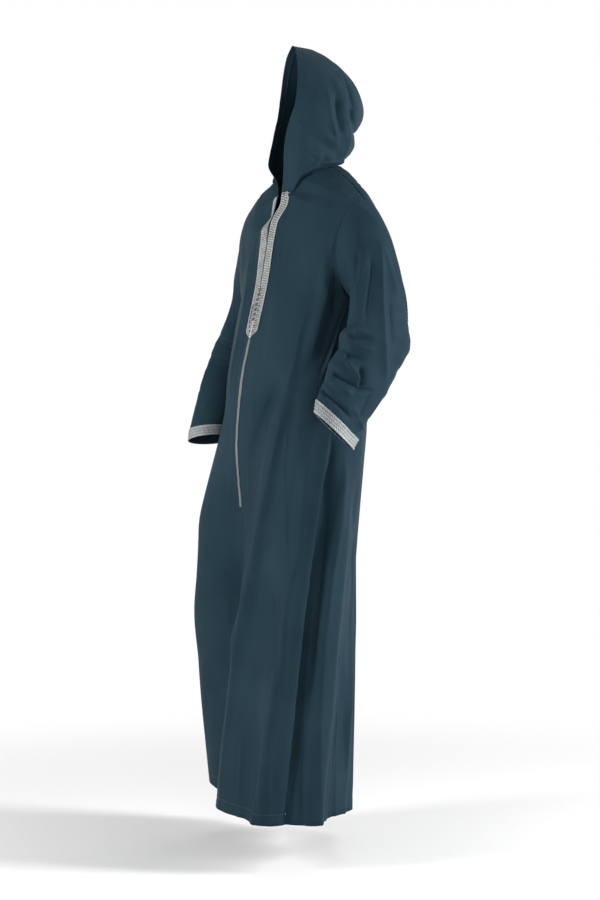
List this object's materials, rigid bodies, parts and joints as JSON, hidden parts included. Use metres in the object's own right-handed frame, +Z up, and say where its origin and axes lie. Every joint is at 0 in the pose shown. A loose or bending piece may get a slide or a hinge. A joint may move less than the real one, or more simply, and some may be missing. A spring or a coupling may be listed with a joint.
{
  "type": "hooded djellaba robe",
  "caption": "Long hooded robe in worn form, of thin cloth, with braided neck slit, braided cuffs, open hem, open hood and a side-seam pocket bag.",
  "frame": {"origin": "centre of the base of the neck, 1.55 m above the ground the wearer stands on, where the shoulders carry the robe", "axes": "+X to the wearer's left, -Y the way the wearer faces, +Z up"},
  "size_m": [0.6765, 0.3744, 1.7529],
  "materials": {
    "cloth": "smooth dark teal-blue cloth with a soft satin sheen",
    "braid": "silver-grey woven braid with openwork"
  },
  "bodies": {
    "root": {"front_left": "cloth", "front_right": "cloth", "back": "cloth", "sleeve_left": "cloth", "sleeve_right": "cloth", "hood_left": "cloth", "hood_right": "cloth", "pocket_bag_left": "cloth", "placket_braid_left": "braid", "placket_braid_right": "braid", "front_braid_line": "braid", "cuff_braid_left": "braid", "cuff_braid_right": "braid"}
  },
  "joints": []
}
